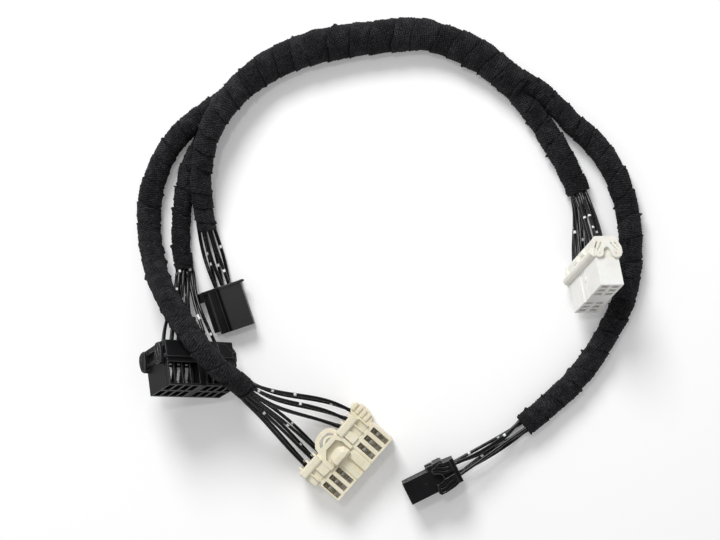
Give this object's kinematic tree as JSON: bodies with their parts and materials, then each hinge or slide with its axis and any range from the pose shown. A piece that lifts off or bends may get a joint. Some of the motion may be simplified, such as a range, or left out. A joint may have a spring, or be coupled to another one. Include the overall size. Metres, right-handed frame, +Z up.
{
  "type": "wiring harness",
  "caption": "Cloth-taped vehicle wiring harness laid in an open ring, with branches that fan out into insulated wires and moulded multi-way connectors.",
  "frame": {"origin": "centre of the bounding box in plan, on the surface that the harness lies on", "axes": "+X across the ring from the three left branches to the two right ones, +Y from the open side of the ring towards the trunk, +Z up"},
  "size_m": [0.2362, 0.2266, 0.0442],
  "materials": {
    "tape": "black woven cloth tape, half-lapped, matte with a fine fuzz",
    "insulation": "smooth black wire insulation, semi-gloss, with small white printed ticks",
    "black_plastic": "moulded black plastic, satin",
    "ivory_plastic": "moulded ivory plastic, satin",
    "white_plastic": "moulded white plastic, satin"
  },
  "bodies": {
    "root": {"taped_trunk": "tape", "taped_branch_a": "tape", "taped_branch_b": "tape", "taped_branch_c": "tape", "taped_branch_d": "tape", "taped_branch_e": "tape", "a_wire_01": "insulation", "a_wire_02": "insulation", "a_wire_03": "insulation", "a_wire_04": "insulation", "a_wire_05": "insulation", "a_wire_06": "insulation", "b_wire_01": "insulation", "b_wire_02": "insulation", "b_wire_03": "insulation", "b_wire_04": "insulation", "b_wire_05": "insulation", "b_wire_06": "insulation", "b_wire_07": "insulation", "b_wire_08": "insulation", "b_wire_09": "insulation", "b_wire_10": "insulation", "c_wire_01": "insulation", "c_wire_02": "insulation", "c_wire_03": "insulation", "c_wire_04": "insulation", "c_wire_05": "insulation", "c_wire_06": "insulation", "c_wire_07": "insulation", "c_wire_08": "insulation", "c_wire_09": "insulation", "c_wire_10": "insulation", "c_wire_11": "insulation", "c_wire_12": "insulation", "d_wire_01": "insulation", "d_wire_02": "insulation", "d_wire_03": "insulation", "d_wire_04": "insulation", "d_wire_05": "insulation", "d_wire_06": "insulation", "d_wire_07": "insulation", "d_wire_08": "insulation", "d_wire_09": "insulation", "d_wire_10": "insulation", "e_wire_01": "insulation", "e_wire_02": "insulation", "e_wire_03": "insulation", "e_wire_04": "insulation", "e_wire_05": "insulation", "e_wire_06": "insulation", "connector_a_housing": "black_plastic", "connector_b_housing": "black_plastic", "connector_c_housing": "ivory_plastic", "connector_d_housing": "white_plastic", "connector_e_housing": "black_plastic"}
  },
  "joints": []
}
